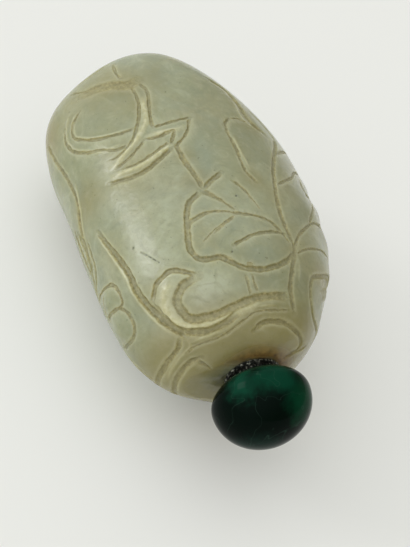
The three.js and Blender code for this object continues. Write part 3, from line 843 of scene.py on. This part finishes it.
# %% Jade: brown skin, dirt, painted highlights on edges and threads, rust and the scratch
# dirt sits in the troughs, between the grit's marks, and is rubbed off in places
grime = node(tree, NOISE, {"Scale": marks(0.588), "Detail": 3.0, "Roughness": 0.65}, Vector=spot)
dirt = node(tree, RAMP, {"stops": [(0.35, "#766f41"), (0.5, "#8e8555"), (0.66, "#aba374")]},
            Fac=grime.outputs["Fac"])
worn_off = node(tree, "ShaderNodeMapRange", {
    "From Min": 0.4, "From Max": 0.62, "To Min": 1.0, "To Max": 0.45}, Value=patches.outputs["Fac"])
held = node(tree, "ShaderNodeMath", {"operation": "MULTIPLY"},
            i0=share_of("stain", 0.95), i1=worn_off.outputs["Result"])
# the threads' pale colour: pale stone with a painted highlight
thread_pale_highlight_colour = node(tree, RAMP, {"stops": [(0.4, "#cbc8a6"), (0.62, "#b5b088")]}, Fac=mottle.outputs["Fac"])
rusty = node(tree, RAMP, {"stops": [(0.4, "#6a4c1c"), (0.6, "#93733a")]}, Fac=mottle.outputs["Fac"])
gaps = node(tree, RAMP, {"stops": [(0.42, 0.25), (0.52, 1.0)]}, Fac=grime.outputs["Fac"])
broken = node(tree, "ShaderNodeMath", {"operation": "MULTIPLY"},
              i0=share_of("crack", 0.8), i1=gaps.outputs["Color"])
skin = [
    (share_of("brown", 0.7), "#857a44"),
    (share_of("halo", 0.5), "#8a855a"),
    (held.outputs["Value"], dirt.outputs["Color"]),
    # a painted highlight along the troughs' edges, and paler threads, partly pale stone and partly painted
    # highlight
    (share_of("edge_highlight", 0.25), "#c2c1a4"),
    (share_of("thread_pale_and_highlight", 0.8), thread_pale_highlight_colour.outputs["Color"]),
    (share_of("rust", 0.95), rusty.outputs["Color"]),
    (broken.outputs["Value"], "#231c0c"),
]
for share, colour in skin:
    stone = node(tree, MIX, LAYER, i0=share, i6=stone, i7=colour).outputs[2]
tree.links.new(stone, shader.inputs["Base Color"])
print("jade, with its skin:", len(tree.nodes), "nodes")

# %% Jade: polish and grain
polish = node(tree, "ShaderNodeMapRange", {"To Min": 0.2, "To Max": 0.5}, Value=share_of("dull"))
tree.links.new(polish.outputs["Result"], shader.inputs["Roughness"])
ripple = node(tree, NOISE, {"Scale": marks(3.03), "Detail": 5.0, "Roughness": 0.6}, Vector=spot)
rippled = node(tree, BUMP, {"Strength": 0.35, "Distance": 0.0004}, Height=ripple.outputs["Fac"])
grit = node(tree, "ShaderNodeMath", {"operation": "MULTIPLY"}, i0=grime.outputs["Fac"], i1=share_of("stain"))
gritty = node(tree, BUMP, {"Strength": 0.35, "Distance": 0.0003},
              Height=grit.outputs["Value"], Normal=rippled.outputs["Normal"])
tree.links.new(gritty.outputs["Normal"], shader.inputs["Normal"])
carved_bottle.data.materials.append(jade)
print("jade:", len(tree.nodes), "nodes")

# %% [markdown]
# ### Dark green cap stone, worn metal and cork
#
# The cap is a glassy polish over a nearly black green with emerald patches and pale hairline
# veins; the emerald patches are partly the stone's own colour and partly painted glow of light
# that comes through it. The disc is old base metal: dark, with bright silvery points where its
# skin has worn through. The cork is only seen when the stopper is lifted out.

# %% Cap stone
green, tree, shader, spot = finish("polished_green_cap_stone", 0.08, IOR=1.5, Specular_IOR_Level=0.035)
# a drift of a few mm gives the patches their cloudy edges
drift = node(tree, NOISE, {"Scale": marks(3.85), "Detail": 4.0, "Roughness": 0.6}, Vector=spot)
moved = node(tree, "ShaderNodeVectorMath", {"operation": "SCALE", "Scale": 0.007}, i0=drift.outputs["Color"])
moved = node(tree, "ShaderNodeVectorMath", {"operation": "ADD"}, i0=spot, i1=moved.outputs["Vector"])
# four patches of lighter green, partly the stone's own colour and partly painted glow where
# light comes through it: place in m, with the drift's mean added, radius in m and colour
green_and_glow_patches = [
    ((0.0045, -0.0265, 0.0270), 0.0050, "#043524"),
    ((-0.0005, -0.0265, 0.0250), 0.0038, "#0a3a29"),
    ((0.0088, -0.0290, 0.0245), 0.0046, "#043420"),
    ((0.0040, -0.0330, 0.0155), 0.0066, "#0a271f"),
]
body_green = "#020c07"
for place, radius, colour in green_and_glow_patches:
    away = node(tree, "ShaderNodeVectorMath", {"operation": "DISTANCE", 1: place}, i0=moved.outputs["Vector"])
    share = node(tree, "ShaderNodeMapRange", {
        "interpolation_type": "SMOOTHSTEP", "From Min": 0.15 * radius, "From Max": radius,
        "To Min": 1.0, "To Max": 0.0}, Value=away.outputs["Value"])
    body_green = node(tree, MIX, LAYER, i0=share.outputs["Result"], i6=body_green, i7=colour).outputs[2]
vein_noise = node(tree, NOISE, {"Scale": marks(7.7), "Detail": 2.0, "Distortion": 1.0}, Vector=spot)
vein = node(tree, RAMP, {"stops": [(0.494, 0.0), (0.5, 0.22), (0.506, 0.0)]}, Fac=vein_noise.outputs["Fac"])
veined = node(tree, MIX, LAYER, i0=vein.outputs["Color"], i6=body_green, i7="#3c5a4c")
tree.links.new(veined.outputs[2], shader.inputs["Base Color"])
cap.data.materials.append(green)
print("cap stone:", len(tree.nodes), "nodes")

# %% Worn metal
metal, tree, shader, spot = finish("worn_dark_metal", 0.45, metallic=1.0)
pits = node(tree, NOISE, {"Scale": marks(0.385), "Detail": 4.0, "Roughness": 0.7}, Vector=spot)
heights = node(tree, "ShaderNodeSeparateXYZ", Vector=spot)
# the skin is worn through along the edge that touches the jade
rub = node(tree, "ShaderNodeMapRange", {
    "From Min": -0.0254, "From Max": -0.0248, "To Min": 0.0, "To Max": 0.16}, Value=heights.outputs["Y"])
worn = node(tree, "ShaderNodeMath", {"operation": "ADD"}, i0=pits.outputs["Fac"], i1=rub.outputs["Result"])
patina = node(tree, RAMP, {"stops": [(0.48, "#131412"), (0.6, "#33342f"), (0.7, "#9c9d90")]},
              Fac=worn.outputs["Value"])
tree.links.new(patina.outputs["Color"], shader.inputs["Base Color"])
dents = node(tree, BUMP, {"Strength": 0.8, "Distance": 0.0002}, Height=pits.outputs["Fac"])
tree.links.new(dents.outputs["Normal"], shader.inputs["Normal"])
disc.data.materials.append(metal)
print("metal:", len(tree.nodes), "nodes")

# %% Cork
cork, tree, shader, spot = finish("cork_bark", 0.9)
cells = node(tree, "ShaderNodeTexVoronoi", {"Scale": marks(0.625)}, Vector=spot)
bark = node(tree, RAMP, {"stops": [(0.1, "#6e4f30"), (0.35, "#a07a50"), (0.8, "#b58d60")]},
            Fac=cells.outputs["Distance"])
tree.links.new(bark.outputs["Color"], shader.inputs["Base Color"])
pores = node(tree, BUMP, {"Strength": 0.5, "Distance": 0.0002}, Height=cells.outputs["Distance"])
tree.links.new(pores.outputs["Normal"], shader.inputs["Normal"])
peg.data.materials.append(cork)
print("cork:", len(tree.nodes), "nodes")

# %% [markdown]
# ## Table and light
#
# A pale matt table in a bright room. The sky is brightest on the left and above, and dimmer
# towards the room's other end, which gives the gentle fall from light to dark. One small
# panel on the left is the window: its streak lies along the polished stone.

# %% Table
span = 1.5  # m from the middle to each side
table_mesh = bpy.data.meshes.new("table")
corners = [(-span, -span, 0), (span, -span, 0), (span, span, 0), (-span, span, 0)]
table_mesh.from_pydata(corners, [], [(0, 1, 2, 3)])
table = bpy.data.objects.new("table", table_mesh)
bpy.context.scene.collection.objects.link(table)
paint, tree, shader, spot = finish("matt_white_table", 0.9, Specular_IOR_Level=0.1, Emission_Strength=0.12)
shader.inputs["Base Color"].default_value = linear("#dadad6")
shader.inputs["Emission Color"].default_value = linear("#fcfdff")  # light that the room throws back
table.data.materials.append(paint)
print("table", 2 * span, "m wide")

# %% Light
world = bpy.data.worlds.new("studio")
world.use_nodes = True
sky = world.node_tree
bright_side = Vector((-0.75, 0.25, 0.65)).normalized()  # a bright wall and ceiling
around = node(sky, "ShaderNodeTexCoord").outputs["Generated"]
toward = node(sky, "ShaderNodeVectorMath", {"operation": "DOT_PRODUCT", 1: bright_side}, i0=around)
nearness = node(sky, "ShaderNodeMapRange", {
    "From Min": -0.35, "From Max": 0.6}, Value=toward.outputs["Value"])
shade = node(sky, "ShaderNodeMapRange", {"To Min": 0.4, "To Max": 1.22}, Value=nearness.outputs["Result"])
tint = node(sky, RAMP, {"stops": [(0.0, "#f6eedb"), (0.7, "#fafcfb")]}, Fac=nearness.outputs["Result"])
backdrop = sky.nodes["Background"]
sky.links.new(tint.outputs["Color"], backdrop.inputs["Color"])
sky.links.new(shade.outputs["Result"], backdrop.inputs["Strength"])
bpy.context.scene.world = world
bpy.context.scene.view_settings.view_transform = "Standard"


def panel(name, place, size, watts):
    """A square area light, in m, that faces the bottle."""
    lamp = bpy.data.lights.new(name, "AREA")
    lamp.shape, lamp.size, lamp.energy = "SQUARE", size, watts
    holder = bpy.data.objects.new(name, lamp)
    facing_bottle = Vector(place).to_track_quat("Z", "Y").to_matrix().to_4x4()
    holder.matrix_world = Matrix.Translation(place) @ facing_bottle
    bpy.context.scene.collection.objects.link(holder)
    print(name, watts, "W")


panel("window", (-0.745, 0.335, 0.47), 0.3, 1.15)
